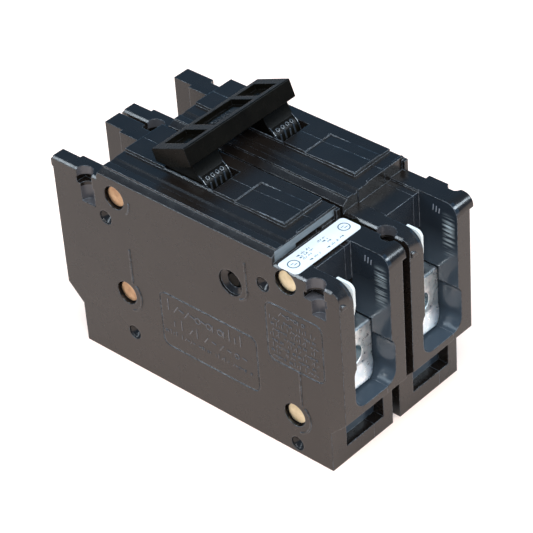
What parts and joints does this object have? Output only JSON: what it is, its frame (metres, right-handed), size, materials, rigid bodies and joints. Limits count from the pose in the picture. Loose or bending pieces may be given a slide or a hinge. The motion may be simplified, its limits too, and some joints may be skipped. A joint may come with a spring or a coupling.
{
  "type": "two-pole moulded-case circuit breaker",
  "caption": "Black moulded-case circuit breaker with two poles side by side, one tie bar across both toggle handles, cable lugs in open end pockets and riveted case halves.",
  "frame": {"origin": "centre of the mounting face, midway between the poles and between the two ends", "axes": "+X towards the load end (rating label), +Y from pole 1 to pole 2, +Z away from the mounting face towards the handle"},
  "size_m": [0.0948, 0.0496, 0.0696],
  "materials": {
    "case_plastic": "satin black moulded thermoset",
    "handle_plastic": "satin black moulded handle",
    "copper": "bare copper",
    "nickel_plate": "tin plated aluminium",
    "screw_steel": "zinc plated steel",
    "plated_steel": "zinc plated steel",
    "spring_steel": "drawn spring wire",
    "silver_contact": "silver alloy",
    "bimetal_metal": "laminated bimetal strip",
    "fibre_sheet": "white fibre sheet",
    "fibre_sheet_grey": "vulcanised fibre",
    "foil": "brushed foil",
    "label_stock": "white printed label"
  },
  "bodies": {
    "case": {"case_near_shell_1": "case_plastic", "case_far_shell_1": "case_plastic", "case_rivets_1": "copper", "line_lug_1": "nickel_plate", "load_lug_1": "nickel_plate", "terminal_liner_1": "fibre_sheet", "line_strap_1": "copper", "load_strap_1": "copper", "fixed_contact_1": "silver_contact", "pivot_pins_1": "plated_steel", "toggle_spring_1": "spring_steel", "bimetal_1": "bimetal_metal", "magnet_yoke_1": "plated_steel", "calibration_screw_1": "screw_steel", "flexible_braid_1": "copper", "arc_plates_1": "plated_steel", "arc_chute_frame_1": "fibre_sheet_grey", "case_near_shell_2": "case_plastic", "case_far_shell_2": "case_plastic", "case_rivets_2": "copper", "line_lug_2": "nickel_plate", "load_lug_2": "nickel_plate", "terminal_liner_2": "fibre_sheet", "line_strap_2": "copper", "load_strap_2": "copper", "fixed_contact_2": "silver_contact", "pivot_pins_2": "plated_steel", "toggle_spring_2": "spring_steel", "bimetal_2": "bimetal_metal", "magnet_yoke_2": "plated_steel", "calibration_screw_2": "screw_steel", "flexible_braid_2": "copper", "arc_plates_2": "plated_steel", "arc_chute_frame_2": "fibre_sheet_grey", "foil_label_strip": "foil", "rating_label": "label_stock"},
    "handle": {"handle_lever_1": "handle_plastic", "handle_lever_2": "handle_plastic", "handle_tie_bar": "handle_plastic"},
    "trip_bar": {"trip_crossbar": "handle_plastic"},
    "contact_arm_1": {"contact_arm_1": "copper", "moving_contact_1": "silver_contact"},
    "trip_cradle_1": {"trip_cradle_1": "plated_steel"},
    "armature_1": {"armature_1": "plated_steel"},
    "line_screw_1": {"line_lug_screw_1": "screw_steel"},
    "load_screw_1": {"load_lug_screw_1": "screw_steel"},
    "contact_arm_2": {"contact_arm_2": "copper", "moving_contact_2": "silver_contact"},
    "trip_cradle_2": {"trip_cradle_2": "plated_steel"},
    "armature_2": {"armature_2": "plated_steel"},
    "line_screw_2": {"line_lug_screw_2": "screw_steel"},
    "load_screw_2": {"load_lug_screw_2": "screw_steel"}
  },
  "joints": [
    {"name": "handle_hinge", "type": "hinge", "parent": "case", "child": "handle", "pos_m": [-0.0085, 0, 0.056], "axis": [0, 1, 0], "range_deg": [0, 44]},
    {"name": "contact_arm_hinge_1", "type": "hinge", "parent": "case", "child": "contact_arm_1", "pos_m": [-0.009, -0.01324, 0.04], "axis": [0, 1, 0], "range_deg": [-22, 0], "deforming": ["flexible_braid_1", "toggle_spring_1"]},
    {"name": "trip_cradle_hinge_1", "type": "hinge", "parent": "case", "child": "trip_cradle_1", "pos_m": [0.008, -0.01324, 0.0485], "axis": [0, 1, 0], "range_deg": [0, 12], "deforming": ["toggle_spring_1"]},
    {"name": "armature_hinge_1", "type": "hinge", "parent": "case", "child": "armature_1", "pos_m": [0.0259, -0.01324, 0.0395], "axis": [0, 1, 0], "range_deg": [0, 6]},
    {"name": "line_screw_travel_1", "type": "slide", "parent": "case", "child": "line_screw_1", "axis": [0, 0, 1], "range_m": [-0.0025, 0]},
    {"name": "load_screw_travel_1", "type": "slide", "parent": "case", "child": "load_screw_1", "axis": [0, 0, 1], "range_m": [-0.0025, 0]},
    {"name": "contact_arm_hinge_2", "type": "hinge", "parent": "case", "child": "contact_arm_2", "pos_m": [-0.009, 0.01216, 0.04], "axis": [0, 1, 0], "range_deg": [-22, 0], "deforming": ["flexible_braid_2", "toggle_spring_2"]},
    {"name": "trip_cradle_hinge_2", "type": "hinge", "parent": "case", "child": "trip_cradle_2", "pos_m": [0.008, 0.01216, 0.0485], "axis": [0, 1, 0], "range_deg": [0, 12], "deforming": ["toggle_spring_2"]},
    {"name": "armature_hinge_2", "type": "hinge", "parent": "case", "child": "armature_2", "pos_m": [0.0259, 0.01216, 0.0395], "axis": [0, 1, 0], "range_deg": [0, 6]},
    {"name": "line_screw_travel_2", "type": "slide", "parent": "case", "child": "line_screw_2", "axis": [0, 0, 1], "range_m": [-0.0025, 0]},
    {"name": "load_screw_travel_2", "type": "slide", "parent": "case", "child": "load_screw_2", "axis": [0, 0, 1], "range_m": [-0.0025, 0]},
    {"name": "trip_bar_hinge", "type": "hinge", "parent": "case", "child": "trip_bar", "pos_m": [0.0122, 0, 0.0437], "axis": [0, 1, 0], "range_deg": [0, 12]}
  ],
  "couplings": [
    {"joint": "contact_arm_hinge_1", "follows": "handle_hinge", "ratio": -0.5},
    {"joint": "contact_arm_hinge_2", "follows": "handle_hinge", "ratio": -0.5},
    {"joint": "trip_cradle_hinge_2", "follows": "trip_cradle_hinge_1", "ratio": 1},
    {"joint": "trip_bar_hinge", "follows": "trip_cradle_hinge_1", "ratio": 1}
  ]
}
